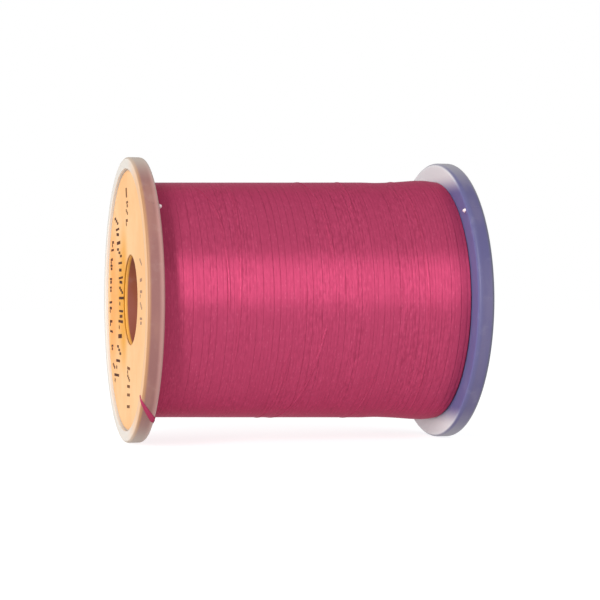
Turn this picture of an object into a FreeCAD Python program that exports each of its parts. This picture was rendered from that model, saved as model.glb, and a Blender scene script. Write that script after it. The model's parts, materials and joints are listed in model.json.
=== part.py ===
import FreeCAD, Part
import math
import os

import Sketcher

# A fly-tying thread spool: two identical end mouldings pressed into a plain barrel tube, wound with
# flat nylon thread, with a round paper label on each end. Millimetres, +Z up.
# The spool lies on its two rims. X is the spool's axis, the front end faces -X, and the origin is on
# the axis, half way between the ends. Angles round the axis are counted from -Y towards +Z.

SIZES = [
    ("overall_length", 26.52, "over the two outer flange faces"),
    ("flange_radius", 11.1, "7/8 inch flange"),
    ("flange_thickness", 1.32, "flange disc"),
    ("rim_round_outer", 0.25, "rounded edge on the outside of a rim"),
    ("rim_round_inner", 0.28, "rounded edge on the thread side of a rim"),
    ("recess_radius", 10.2, "round recess for the label in an end face"),
    ("recess_depth", 0.35, "depth of that recess at its edge"),
    ("dish_depth", 0.62, "depth of that recess at the bore, because its floor is dished"),
    ("bore_radius", 3.5, "hole for the foot of a bobbin holder"),
    ("hub_radius", 4.5, "outside of the hub tube round the bore"),
    ("hub_gap", 0.1, "between the two hub tubes, half way along"),
    ("barrel_radius", 6.7, "outside of the barrel, under the thread"),
    ("barrel_wall", 1.1, "barrel tube wall"),
    ("spigot_length", 3.2, "ring that plugs into the barrel"),
    ("spigot_wall", 0.6, "wall of that ring"),
    ("web_thickness", 0.8, "web between hub tube and spigot ring"),
    ("gate_angle", 40.0, "where the gate was trimmed off the rims, in degrees"),
    ("gate_width", 0.3, "trimmed gate, along the rim"),
    ("gate_height", 0.5, "trimmed gate, measured inwards from the rim"),
    ("gate_reach", 0.26, "trimmed gate, how far it points over the thread"),
    ("label_radius", 10.1, "paper label"),
    ("label_hole", 3.52, "radius of the hole in the label"),
    ("label_thickness", 0.12, "paper with its adhesive"),
    ("thread_width", 0.32, "flat nylon thread, laid flat"),
    ("thread_thickness", 0.06, "flat nylon thread, laid flat"),
    ("wound_front", 9.15, "winding radius at the front flange"),
    ("wound_back", 9.51, "winding radius near its thicker end"),
    ("wound_back_at", 8.7, "where along X that is"),
    ("wound_peak", 9.68, "largest winding radius"),
    ("wound_peak_at", 10.8, "where along X that is"),
    ("wound_end", 9.61, "winding radius at the rear flange"),
    ("outer_layer", 0.18, "depth of the last turns, laid over the bulk"),
    ("start_length", 9.0, "start of the thread, lying along the barrel"),
    ("start_clearance", 0.02, "room round the start of the thread"),
    ("end_angle_in", -55.0, "where the thread end climbs onto the front rim"),
    ("end_angle_out", -42.0, "where it leaves the front rim for the end face"),
]


def make_sheet(doc):
    """The driving dimensions, one row each: name, value with that name as its alias, and a note."""
    sheet = doc.addObject("Spreadsheet::Sheet", "Sizes")
    for row, (name, value, note) in enumerate(SIZES, start=1):
        sheet.set(f"A{row}", name)
        sheet.set(f"B{row}", str(value))
        sheet.set(f"C{row}", note)
        sheet.setAlias(f"B{row}", name)
    doc.recompute()
    return sheet


def add_body(doc, label):
    """A PartDesign body for one piece, labelled with the piece's name."""
    body = doc.addObject("PartDesign::Body", label)
    body.Label = label
    return body


def origin_item(body, role):
    """One of the body's own origin planes or axes, by its role."""
    return next(item for item in body.Origin.OriginFeatures if item.Role == role)


def add_sketch(body, name, role):
    """A sketch on one of the body's own origin planes."""
    sketch = body.newObject("Sketcher::SketchObject", name)
    sketch.AttachmentSupport = (origin_item(body, role), [""])
    sketch.MapMode = "FlatFace"
    return sketch


def draw_outline(sketch, corners):
    """Closes straight lines through the corners, and binds each corner's two distances to the sheet."""
    points = [
        FreeCAD.Vector(sketch.evalExpression(across), sketch.evalExpression(up), 0)
        for across, up in corners
    ]
    count = len(points)
    for index in range(count):
        sketch.addGeometry(Part.LineSegment(points[index], points[(index + 1) % count]))
    for index in range(count):
        following = (index + 1) % count
        sketch.addConstraint(Sketcher.Constraint("Coincident", index, 2, following, 1))
    for index, corner in enumerate(corners):
        for kind, expression, value in zip(("DistanceX", "DistanceY"), corner, points[index]):
            number = sketch.addConstraint(Sketcher.Constraint(kind, -1, 1, index, 1, value))
            name = f"corner_{index}_{kind[-1].lower()}"
            sketch.renameConstraint(number, name)
            sketch.setExpression(f"Constraints.{name}", expression)


def draw_rings(sketch, radii):
    """Circles round the sketch's origin, each radius bound to the sheet."""
    for index, expression in enumerate(radii):
        radius = sketch.evalExpression(expression)
        sketch.addGeometry(Part.Circle(FreeCAD.Vector(), FreeCAD.Vector(0, 0, 1), radius))
        sketch.addConstraint(Sketcher.Constraint("Coincident", index, 3, -1, 1))
        number = sketch.addConstraint(Sketcher.Constraint("Radius", index, radius))
        sketch.renameConstraint(number, f"ring_{index}")
        sketch.setExpression(f"Constraints.ring_{index}", expression)


def revolve(body, name, corners):
    """Turns an outline of (along X, radius) corners round the X axis."""
    sketch = add_sketch(body, f"{name}_outline", "XY_Plane")
    draw_outline(sketch, corners)
    turned = body.newObject("PartDesign::Revolution", name)
    turned.Profile = sketch
    turned.ReferenceAxis = (sketch, ["H_Axis"])
    turned.Angle = 360
    return turned


def pad(body, name, sketch, length, symmetric=False):
    """Pads a sketch to a length from the sheet."""
    added = body.newObject("PartDesign::Pad", name)
    added.Profile = sketch
    added.SideType = "Symmetric" if symmetric else "One side"
    added.setExpression("Length", length)
    return added


def edges_at(shape, radius, along):
    """The names of a shape's round edges of that radius that lie at that place along X."""
    return [
        f"Edge{number}"
        for number, edge in enumerate(shape.Edges, start=1)
        if isinstance(edge.Curve, Part.Circle)
        and abs(edge.Curve.Radius - radius) < 1e-4
        and abs(edge.Curve.Center.x - along) < 1e-4
    ]


def place(side, angle):
    """Turns a piece made for the rear end, with its mark at local +Z, so that the mark is at that angle.
    On the front side the piece is also turned end for end about its own mark."""
    turn = FreeCAD.Rotation(FreeCAD.Vector(1, 0, 0), 90 - angle)
    if side == "front":
        turn = turn * FreeCAD.Rotation(FreeCAD.Vector(0, 0, 1), 180)
    return FreeCAD.Placement(FreeCAD.Vector(), turn)


def recess_floor(radius):
    """Where along X the dished floor of the label recess lies at a radius from the sheet."""
    rise = "(Sizes.dish_depth - Sizes.recess_depth) / (Sizes.recess_radius - Sizes.bore_radius)"
    deepest = "Sizes.overall_length / 2 - Sizes.dish_depth"
    return f"{deepest} + {rise} * ({radius} - Sizes.bore_radius)"


def end_moulding(doc, side):
    """Flange disc, hub tube round the bore, and a webbed ring that plugs into the barrel, in one piece."""
    body = add_body(doc, f"{side}_flange")
    face = "Sizes.overall_length / 2"
    back = "Sizes.overall_length / 2 - Sizes.flange_thickness"
    tip = f"{back} - Sizes.spigot_length"
    ring_outer = "Sizes.barrel_radius - Sizes.barrel_wall"
    ring_inner = f"{ring_outer} - Sizes.spigot_wall"
    revolve(
        body,
        f"{side}_disc_and_hub",
        [
            (recess_floor("Sizes.bore_radius"), "Sizes.bore_radius"),
            (recess_floor("Sizes.recess_radius"), "Sizes.recess_radius"),
            (face, "Sizes.recess_radius"),
            (face, "Sizes.flange_radius"),
            (back, "Sizes.flange_radius"),
            (back, ring_outer),
            (tip, ring_outer),
            (tip, ring_inner),
            (back, ring_inner),
            (back, "Sizes.hub_radius"),
            ("Sizes.hub_gap / 2", "Sizes.hub_radius"),
            ("Sizes.hub_gap / 2", "Sizes.bore_radius"),
        ],
    )

    doc.recompute()
    size = doc.Sizes
    outer_at = size.overall_length / 2
    inner_at = outer_at - size.flange_thickness
    for name, at, radius in (
        ("outer", outer_at, "Sizes.rim_round_outer"),
        ("inner", inner_at, "Sizes.rim_round_inner"),
    ):
        last = body.Tip
        rounded = body.newObject("PartDesign::Fillet", f"{side}_rim_{name}")
        rounded.Base = (last, edges_at(last.Shape, size.flange_radius, at))
        rounded.setExpression("Radius", radius)
        doc.recompute()

    web_sketch = add_sketch(body, f"{side}_web_outline", "XY_Plane")
    draw_outline(
        web_sketch,
        [
            (tip, "Sizes.hub_radius - Sizes.spigot_wall / 3"),
            (back, "Sizes.hub_radius - Sizes.spigot_wall / 3"),
            (back, f"{ring_inner} + Sizes.spigot_wall / 3"),
            (tip, f"{ring_inner} + Sizes.spigot_wall / 3"),
        ],
    )
    web = pad(body, f"{side}_web", web_sketch, "Sizes.web_thickness", symmetric=True)
    webs = body.newObject("PartDesign::PolarPattern", f"{side}_webs")
    webs.Originals = [web]
    webs.Axis = (origin_item(body, "X_Axis"), [""])
    webs.Angle = 360
    webs.Occurrences = 4
    body.Tip = webs

    gate_sketch = add_sketch(body, f"{side}_gate_outline", "XZ_Plane")
    gate_top = "Sizes.flange_radius - Sizes.rim_round_inner"
    root = f"{back} + Sizes.flange_thickness / 4"
    draw_outline(
        gate_sketch,
        [
            (root, gate_top),
            (back, gate_top),
            (f"{back} - Sizes.gate_reach", f"{gate_top} - Sizes.gate_height / 3"),
            (back, f"{gate_top} - Sizes.gate_height"),
            (root, f"{gate_top} - Sizes.gate_height"),
        ],
    )
    pad(body, f"{side}_gate", gate_sketch, "Sizes.gate_width", symmetric=True)
    body.Placement = place(side, size.gate_angle)
    return body


def barrel(doc):
    """A plain tube between the flanges. The spigot rings press into its ends."""
    body = add_body(doc, "barrel")
    sketch = add_sketch(body, "barrel_section", "YZ_Plane")
    draw_rings(sketch, ["Sizes.barrel_radius", "Sizes.barrel_radius - Sizes.barrel_wall"])
    length = "Sizes.overall_length - 2 * Sizes.flange_thickness"
    pad(body, "barrel_tube", sketch, length, symmetric=True)
    return body


def wound_profile(drop):
    """The top of the winding from the rear flange to the front one, lowered by a depth from the sheet."""
    half = "Sizes.overall_length / 2 - Sizes.flange_thickness"
    return [
        (half, f"Sizes.wound_end - {drop}"),
        ("Sizes.wound_peak_at", f"Sizes.wound_peak - {drop}"),
        ("Sizes.wound_back_at", f"Sizes.wound_back - {drop}"),
        (f"-({half})", f"Sizes.wound_front - {drop}"),
    ]


def thread_bulk(doc):
    """The wound thread under the last turns, with a channel for the start of the thread."""
    body = add_body(doc, "thread_bulk")
    half = "Sizes.overall_length / 2 - Sizes.flange_thickness"
    corners = [(f"-({half})", "Sizes.barrel_radius"), (half, "Sizes.barrel_radius")]
    revolve(body, "bulk_turns", corners + wound_profile("Sizes.outer_layer"))
    sketch = add_sketch(body, "start_channel_outline", "XZ_Plane")
    floor = "Sizes.barrel_radius - Sizes.thread_thickness"
    roof = "Sizes.barrel_radius + Sizes.thread_thickness + Sizes.start_clearance"
    far = f"{half} - Sizes.start_length - Sizes.start_clearance"
    draw_outline(sketch, [(far, floor), (half, floor), (half, roof), (far, roof)])
    doc.recompute()
    channel = body.newObject("PartDesign::Pocket", "start_channel")
    channel.Profile = sketch
    channel.SideType = "Symmetric"
    channel.setExpression("Length", "Sizes.thread_width + 2 * Sizes.start_clearance")
    return body


def thread_outer_turns(doc):
    """The last turns, laid side by side over the bulk."""
    body = add_body(doc, "thread_outer_turns")
    under = list(reversed(wound_profile("Sizes.outer_layer")))
    revolve(body, "outer_turns", under + wound_profile("0"))
    return body


def thread_start(doc):
    """The first few millimetres of thread, trapped along the barrel by the turns over it."""
    strip = doc.addObject("Part::Box", "thread_start")
    strip.Label = "thread_start"
    strip.setExpression("Length", "Sizes.start_length")
    strip.setExpression("Width", "Sizes.thread_width")
    strip.setExpression("Height", "Sizes.thread_thickness")
    size = doc.Sizes
    end_at = size.overall_length / 2 - size.flange_thickness
    strip.Placement.Base = FreeCAD.Vector(
        end_at - size.start_length, -size.thread_width / 2, size.barrel_radius
    )
    return strip


def around(angle, radius, along):
    """A point at that angle and radius round the spool's axis."""
    turn = math.radians(angle)
    return FreeCAD.Vector(along, -radius * math.cos(turn), radius * math.sin(turn))


def end_label(doc, side):
    """A round self-adhesive paper label, stuck on the dished floor of its recess."""
    body = add_body(doc, f"{side}_label")
    hole = "Sizes.label_hole"
    edge = "Sizes.label_radius"
    revolve(
        body,
        f"{side}_label_disc",
        [
            (recess_floor(hole), hole),
            (recess_floor(edge), edge),
            (f"{recess_floor(edge)} + Sizes.label_thickness", edge),
            (f"{recess_floor(hole)} + Sizes.label_thickness", hole),
        ],
    )
    body.Placement = place(side, doc.Sizes.gate_angle)
    return body


def strip_box(doc, name, start, finish, outward):
    """A box as wide as the thread, run half a width past both ends, on both sides of a surface."""
    width = doc.Sizes.thread_width
    along = (finish - start).normalize()
    across = outward.cross(along).normalize()
    box = doc.addObject("Part::Box", name)
    box.Length = (finish - start).Length + width
    box.setExpression("Width", "Sizes.thread_width")
    box.setExpression("Height", "2 * Sizes.thread_width")
    turn = FreeCAD.Rotation(along, across, outward, "XZY")
    corner = start - along * width / 2 - across * width / 2 - outward * width
    box.Placement = FreeCAD.Placement(corner, turn)
    return box


def round_blank(doc, name, radius, length, along):
    """A cylinder lying along X, from that place towards +X."""
    blank = doc.addObject("Part::Cylinder", name)
    blank.setExpression("Radius", radius)
    blank.setExpression("Height", length)
    lying = FreeCAD.Rotation(FreeCAD.Vector(0, 1, 0), 90)
    blank.Placement = FreeCAD.Placement(FreeCAD.Vector(along, 0, 0), lying)
    return blank


def ring_skin(doc, name, outer, inner, length, along):
    """A thin ring lying along X between two radii."""
    ring = doc.addObject("Part::Cut", name)
    ring.Base = round_blank(doc, f"{name}_outside", outer, length, along)
    ring.Tool = round_blank(doc, f"{name}_inside", inner, length, along)
    return ring


def thread_end(doc):
    """The end of the thread: up the front flange, slantwise over its rim, across the lip and down
    beside the label. It keeps one slant all the way, because it is flat and folds over each edge."""
    size = doc.Sizes
    rim = size.flange_radius
    lip = size.recess_radius
    thickness = size.thread_thickness
    outer_at = -size.overall_length / 2
    inner_at = outer_at + size.flange_thickness
    slant = (size.end_angle_out - size.end_angle_in) / size.flange_thickness
    low = size.wound_front + size.thread_width * 0.7
    lip_angle = size.end_angle_out + slant * (rim - lip)
    bottom_angle = lip_angle + slant * size.recess_depth / 2
    route = (
        around(size.end_angle_in - slant * (rim - low), low, inner_at),
        around(size.end_angle_in, rim, inner_at),
        around(size.end_angle_out, rim, outer_at),
        around(lip_angle, lip, outer_at),
        around(bottom_angle, lip, outer_at + size.recess_depth / 2),
    )

    thick = "Sizes.thread_thickness"
    over_rim = f"Sizes.flange_radius + {thick}"
    under_lip = f"Sizes.recess_radius - {thick}"
    over_width = f"Sizes.flange_thickness + 2 * {thick}"
    down_wall = f"Sizes.recess_depth + {thick}"
    outside_at = outer_at - thickness
    climb = ring_skin(doc, "climb_skin", over_rim, "Sizes.wound_front", thick, inner_at)
    crossing = ring_skin(
        doc, "crossing_skin", over_rim, "Sizes.flange_radius", over_width, outside_at
    )
    over_lip = ring_skin(doc, "lip_skin", over_rim, under_lip, thick, outside_at)
    down = ring_skin(doc, "wall_skin", "Sizes.recess_radius", under_lip, down_wall, outside_at)

    rim_middle = (size.end_angle_in + size.end_angle_out) / 2
    wall_middle = (lip_angle + bottom_angle) / 2
    stretches = (
        ("end_climb", climb, FreeCAD.Vector(1, 0, 0)),
        ("end_crossing", crossing, around(rim_middle, 1, 0)),
        ("end_over_lip", over_lip, FreeCAD.Vector(-1, 0, 0)),
        ("end_down_wall", down, around(wall_middle, -1, 0)),
    )
    pieces = []
    for number, (name, layer, outward) in enumerate(stretches):
        band = doc.addObject("Part::Common", name)
        band.Base = layer
        band.Tool = strip_box(doc, f"{name}_box", route[number], route[number + 1], outward)
        pieces.append(band)
    whole = doc.addObject("Part::MultiFuse", "thread_end")
    whole.Label = "thread_end"
    whole.Shapes = pieces
    return whole


def check_objects(doc):
    """Stops if any feature failed to compute."""
    failed = [item.Name for item in doc.Objects if {"Invalid", "Error"} & set(item.State)]
    if failed:
        raise RuntimeError(f"these did not compute: {failed}")


def main():
    doc = FreeCAD.newDocument("thread_spool")
    make_sheet(doc)
    subparts = [
        barrel(doc),
        end_moulding(doc, "front"),
        end_moulding(doc, "rear"),
        end_label(doc, "front"),
        end_label(doc, "rear"),
        thread_start(doc),
        thread_bulk(doc),
        thread_outer_turns(doc),
        thread_end(doc),
    ]
    doc.recompute()
    check_objects(doc)
    for part in subparts:
        shape = part.Shape
        if shape.isNull() or not shape.isValid():
            raise RuntimeError(f"{part.Label} is not a valid solid")
    os.makedirs("parts", exist_ok=True)
    for part in subparts:
        part.Shape.exportStep(f"parts/{part.Label}.step")
        box = part.Shape.BoundBox
        print(
            f"{part.Label}: {len(part.Shape.Solids)} solid, {part.Shape.Volume:.2f} mm3,"
            f" X {box.XMin:.2f} to {box.XMax:.2f}, Z {box.ZMin:.2f} to {box.ZMax:.2f}"
        )


main()
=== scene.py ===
import json
import math
import random

import bmesh
import bpy
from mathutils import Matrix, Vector


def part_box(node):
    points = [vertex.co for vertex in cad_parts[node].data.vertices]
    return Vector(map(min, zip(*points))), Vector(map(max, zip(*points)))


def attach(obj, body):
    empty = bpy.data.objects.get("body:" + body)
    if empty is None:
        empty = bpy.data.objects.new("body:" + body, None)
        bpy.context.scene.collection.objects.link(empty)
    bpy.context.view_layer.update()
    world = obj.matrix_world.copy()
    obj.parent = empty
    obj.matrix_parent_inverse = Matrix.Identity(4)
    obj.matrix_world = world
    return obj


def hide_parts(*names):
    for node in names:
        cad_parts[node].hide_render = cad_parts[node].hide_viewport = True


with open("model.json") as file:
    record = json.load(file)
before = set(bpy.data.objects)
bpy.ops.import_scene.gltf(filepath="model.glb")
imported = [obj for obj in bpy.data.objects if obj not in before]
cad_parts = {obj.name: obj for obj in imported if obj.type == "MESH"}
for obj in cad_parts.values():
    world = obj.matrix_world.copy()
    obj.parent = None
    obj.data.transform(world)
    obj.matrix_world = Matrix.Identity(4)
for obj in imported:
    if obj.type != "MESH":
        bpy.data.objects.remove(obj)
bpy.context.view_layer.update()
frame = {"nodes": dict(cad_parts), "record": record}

# ---------------------------------------------------------------------------------------------
# End mouldings. Each end of the spool is one injection-moulded piece of milky polypropylene: a
# disc with a dished recess for the label, the hub tube round the bore, and a webbed ring that is
# pressed into the barrel. Both rims keep the stub and the witness line of the trimmed gate.
# ---------------------------------------------------------------------------------------------
mm = 0.001
full_turn = 2 * math.pi
mounts = {mount["name"]: mount for mount in frame["record"]["mounts"]}
end_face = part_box("rear_flange")[1].x
inner_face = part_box("barrel")[1].x
rim_radius = 11.1 * mm
outer_round = 0.25 * mm
inner_round = 0.3 * mm
bore_radius = mounts["through_bore"]["dims"]["r_mm"] * mm
recess_radius = 10.2 * mm
recess_depth = 0.35 * mm
dish_depth = 0.62 * mm
bore_mouth = end_face - dish_depth
hub_radius = 4.5 * mm
hub_end = 0.05 * mm
spigot_outer = 5.6 * mm
spigot_inner = 5.0 * mm
spigot_end = inner_face - 3.2 * mm
gate_angle = math.radians(40)


def dished_floor(radius):
    """How far along X the floor of the label recess lies at a radius."""
    share = (radius - bore_radius) / (recess_radius - bore_radius)
    return bore_mouth + (dish_depth - recess_depth) * share


def softened(corners, steps=6):
    """A closed outline through (along, radius, rounding) corners, with an arc at each rounding and
    a point a little way before and after it, which keeps the flats flat in smooth shading."""
    lead = 1.2
    outline = []
    for number, (along, radius, rounding) in enumerate(corners):
        here = Vector((along, radius))
        if rounding == 0:
            outline.append(here)
            continue
        back = (Vector(corners[number - 1][:2]) - here).normalized()
        on = (Vector(corners[(number + 1) % len(corners)][:2]) - here).normalized()
        half = back.angle(on) / 2
        reach = rounding / math.tan(half)
        centre = here + (back + on).normalized() * rounding / math.sin(half)
        outline.append(here + back * reach * lead)
        first = math.atan2(*(here + back * reach - centre).yx)
        last = math.atan2(*(here + on * reach - centre).yx)
        turn = (last - first + math.pi) % full_turn - math.pi
        for step in range(steps + 1):
            angle = first + turn * step / steps
            outline.append(centre + rounding * Vector((math.cos(angle), math.sin(angle))))
        outline.append(here + on * reach * lead)
    return outline


def turned(shape, outline, side, around=288):
    """Adds a closed outline turned round X to a bmesh. Side -1 makes the front end's piece."""
    rings = []
    for step in range(around):
        angle = full_turn * step / around
        across, up = -math.cos(angle), math.sin(angle)
        rings.append([shape.verts.new((side * x, r * across, r * up)) for x, r in outline])
    for step, ring in enumerate(rings):
        following = rings[(step + 1) % around]
        for number in range(len(outline)):
            after = (number + 1) % len(outline)
            shape.faces.new((ring[number], ring[after], following[after], following[number]))


def at_angle(angle, radius, along):
    """A point round the axis, with angles counted from -Y towards +Z."""
    return Vector((along, -radius * math.cos(angle), radius * math.sin(angle)))


def gate_stub(shape, side):
    """The torn stub of the gate: a little tooth on the thread side of the rim, pointing over the
    thread. Its root and its tip have four (angle, radius, along) corners each."""
    half_width = 0.17 * mm / rim_radius
    root = [
        (gate_angle - half_width, rim_radius - 0.10 * mm, inner_face + 0.2 * mm),
        (gate_angle + half_width, rim_radius - 0.12 * mm, inner_face + 0.2 * mm),
        (gate_angle + half_width * 0.8, rim_radius - 0.75 * mm, inner_face + 0.1 * mm),
        (gate_angle - half_width * 0.9, rim_radius - 0.70 * mm, inner_face + 0.1 * mm),
    ]
    tip = [
        (gate_angle - half_width * 0.5, rim_radius - 0.36 * mm, inner_face - 0.20 * mm),
        (gate_angle + half_width * 0.4, rim_radius - 0.34 * mm, inner_face - 0.22 * mm),
        (gate_angle + half_width * 0.3, rim_radius - 0.46 * mm, inner_face - 0.24 * mm),
        (gate_angle - half_width * 0.4, rim_radius - 0.45 * mm, inner_face - 0.21 * mm),
    ]
    root_ring, tip_ring = (
        [shape.verts.new(at_angle(angle, radius, side * along)) for angle, radius, along in level]
        for level in (root, tip)
    )
    shape.faces.new(root_ring)
    shape.faces.new(reversed(tip_ring))
    for number in range(4):
        after = (number + 1) % 4
        shape.faces.new((root_ring[after], root_ring[number], tip_ring[number], tip_ring[after]))


def witness_line(shape, side):
    """A fine raised line across the rim at the gate, where two inserts of the mould met."""
    start, finish = inner_face + 0.35 * mm, end_face - 0.35 * mm
    height, width, slope = 0.012 * mm, 0.03 * mm, 0.01
    section = ((-1, -0.4), (-0.5, 0.7), (0, 1), (0.5, 0.7), (1, -0.4))
    steps = 8
    rings = []
    for step in range(steps + 1):
        share = step / steps
        along = side * (start + (finish - start) * share)
        swell = math.sin(math.pi * min(1.0, max(0.0, share * 0.96 + 0.02))) ** 0.5
        middle = gate_angle + slope * (share - 0.5)
        ring = []
        for over, out in section:
            angle = middle + over * width * swell / rim_radius
            ring.append(shape.verts.new(at_angle(angle, rim_radius + out * height * swell, along)))
        rings.append(ring)
    for near, far in zip(rings, rings[1:]):
        for number in range(len(section)):
            after = (number + 1) % len(section)
            shape.faces.new((near[number], near[after], far[after], far[number]))
    shape.faces.new(reversed(rings[0]))
    shape.faces.new(rings[-1])


def finished_piece(name, shape, body_slot, *stands_for):
    """Turns a bmesh into a smooth-shaded piece on the root body that stands for those CAD nodes."""
    bmesh.ops.recalc_face_normals(shape, faces=shape.faces)
    mesh = bpy.data.meshes.new(name)
    shape.to_mesh(mesh)
    shape.free()
    mesh.shade_smooth()
    piece = bpy.data.objects.new(name, mesh)
    bpy.context.scene.collection.objects.link(piece)
    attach(piece, "root")
    if stands_for:
        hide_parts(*stands_for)
    return piece


def add_node(tree, kind, wires=None, **settings):
    """Adds a node. Wires are its inputs by name or number, each a value or another node's socket."""
    node = tree.nodes.new(kind)
    for name, value in settings.items():
        setattr(node, name, value)
    for name, value in (wires or {}).items():
        if isinstance(value, bpy.types.NodeSocket):
            tree.links.new(value, node.inputs[name])
        else:
            node.inputs[name].default_value = value
    return node


def reckon(tree, operation, first, second=0.0, third=0.0):
    """A math node, in a material or in a geometry tree alike."""
    wires = {0: first, 1: second, 2: third}
    return add_node(tree, "ShaderNodeMath", wires, operation=operation).outputs[0]


def product(tree, *factors):
    """Masks or numbers multiplied together."""
    result = factors[0]
    for factor in factors[1:]:
        result = reckon(tree, "MULTIPLY", result, factor)
    return result


def scaled(tree, vector, factors):
    """A place stretched by its own factor along each of its three directions."""
    wires = {0: vector, 1: factors}
    return add_node(tree, "ShaderNodeVectorMath", wires, operation="MULTIPLY").outputs[0]


def clouds(tree, vector, scale, detail=2.0, roughness=0.5):
    """Soft random patches, from 0 to 1."""
    wires = {"Vector": vector, "Scale": scale, "Detail": detail, "Roughness": roughness}
    return add_node(tree, "ShaderNodeTexNoise", wires).outputs["Fac"]


def fade(tree, value, start, finish):
    """0 before start, 1 past finish, and a smooth change between."""
    wires = {"Value": value, "From Min": start, "From Max": finish}
    return add_node(tree, "ShaderNodeMapRange", wires, interpolation_type="SMOOTHSTEP").outputs[0]


def layered(tree, share, under, over):
    """One colour laid over another by a mask."""
    node = add_node(tree, "ShaderNodeMix", {0: share, 6: under, 7: over}, data_type="RGBA")
    return node.outputs[2]


def dye(red, green, blue):
    """A colour given as it looks on a screen, 0 to 255, turned into the shader's linear values."""
    shares = [value / 255 for value in (red, green, blue)]
    linear = [s / 12.92 if s <= 0.04045 else ((s + 0.055) / 1.055) ** 2.4 for s in shares]
    return (*linear, 1.0)


def relief(tree, shader, height, strength, distance):
    """A bump that follows a height and feeds the shader."""
    wires = {"Height": height, "Strength": strength, "Distance": distance}
    tree.links.new(add_node(tree, "ShaderNodeBump", wires).outputs[0], shader.inputs["Normal"])


def new_finish(name):
    """A material with its tree, its Principled shader and the piece's own coordinates."""
    finish = bpy.data.materials.new(name)
    finish.use_nodes = True
    tree = finish.node_tree
    place = add_node(tree, "ShaderNodeTexCoord").outputs["Object"]
    return finish, tree, tree.nodes["Principled BSDF"], place


def group_of(name, kind, inputs, outputs):
    """An empty node group with named inputs (name, type, value) and outputs (name, type)."""
    tree = bpy.data.node_groups.new(name, kind)
    for label, socket_type, value in inputs:
        socket = tree.interface.new_socket(label, in_out="INPUT", socket_type=socket_type)
        if value is not None:
            socket.default_value = value
    for label, socket_type in outputs:
        tree.interface.new_socket(label, in_out="OUTPUT", socket_type=socket_type)
    arrive = tree.nodes.new("NodeGroupInput")
    leave = tree.nodes.new("NodeGroupOutput")
    return tree, arrive.outputs, leave.inputs


def radius_of(tree, parts):
    """The distance from the X axis of a place given by its three parts."""
    square = product(tree, parts["Y"], parts["Y"])
    return reckon(tree, "SQRT", reckon(tree, "MULTIPLY_ADD", parts["Z"], parts["Z"], square))


def make_round_place():
    """Where a point lies on a round piece: along the axis, out from it, across it and up."""
    numbers = [(name, "NodeSocketFloat") for name in ("Along", "Radius", "Across", "Up")]
    tree, given, wanted = group_of(
        "round_place", "ShaderNodeTree", [("Place", "NodeSocketVector", None)], numbers
    )
    parts = add_node(tree, "ShaderNodeSeparateXYZ", {0: given["Place"]}).outputs
    radius = radius_of(tree, parts)
    tree.links.new(parts["X"], wanted["Along"])
    tree.links.new(radius, wanted["Radius"])
    tree.links.new(parts["Y"], wanted["Across"])
    tree.links.new(parts["Z"], wanted["Up"])
    return tree


def make_handling_marks():
    """Fine scuffs and dust specks from handling: a mask for the tint and gloss, and a height."""
    tree, given, wanted = group_of(
        "handling_marks",
        "ShaderNodeTree",
        [
            ("Place", "NodeSocketVector", None),
            ("Scuff Size", "NodeSocketFloat", 900.0),
            ("Speck Size", "NodeSocketFloat", 2500.0),
        ],
        [("Scuffs", "NodeSocketFloat"), ("Specks", "NodeSocketFloat"), ("Height", "NodeSocketFloat")],
    )
    cloud = clouds(tree, given["Place"], given["Scuff Size"], 5.0, 0.62)
    scuffs = fade(tree, cloud, 0.52, 0.72)
    cell_wires = {"Vector": given["Place"], "Scale": given["Speck Size"]}
    cells = add_node(tree, "ShaderNodeTexVoronoi", cell_wires)
    near = fade(tree, cells.outputs["Distance"], 0.16, 0.05)
    chosen = add_node(tree, "ShaderNodeSeparateColor", {0: cells.outputs["Color"]}).outputs[0]
    specks = product(tree, near, fade(tree, chosen, 0.90, 0.93))
    tree.links.new(scuffs, wanted["Scuffs"])
    tree.links.new(specks, wanted["Specks"])
    tree.links.new(reckon(tree, "MULTIPLY_ADD", specks, 0.5, cloud), wanted["Height"])
    return tree


round_place = make_round_place()
handling_marks = make_handling_marks()


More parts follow.
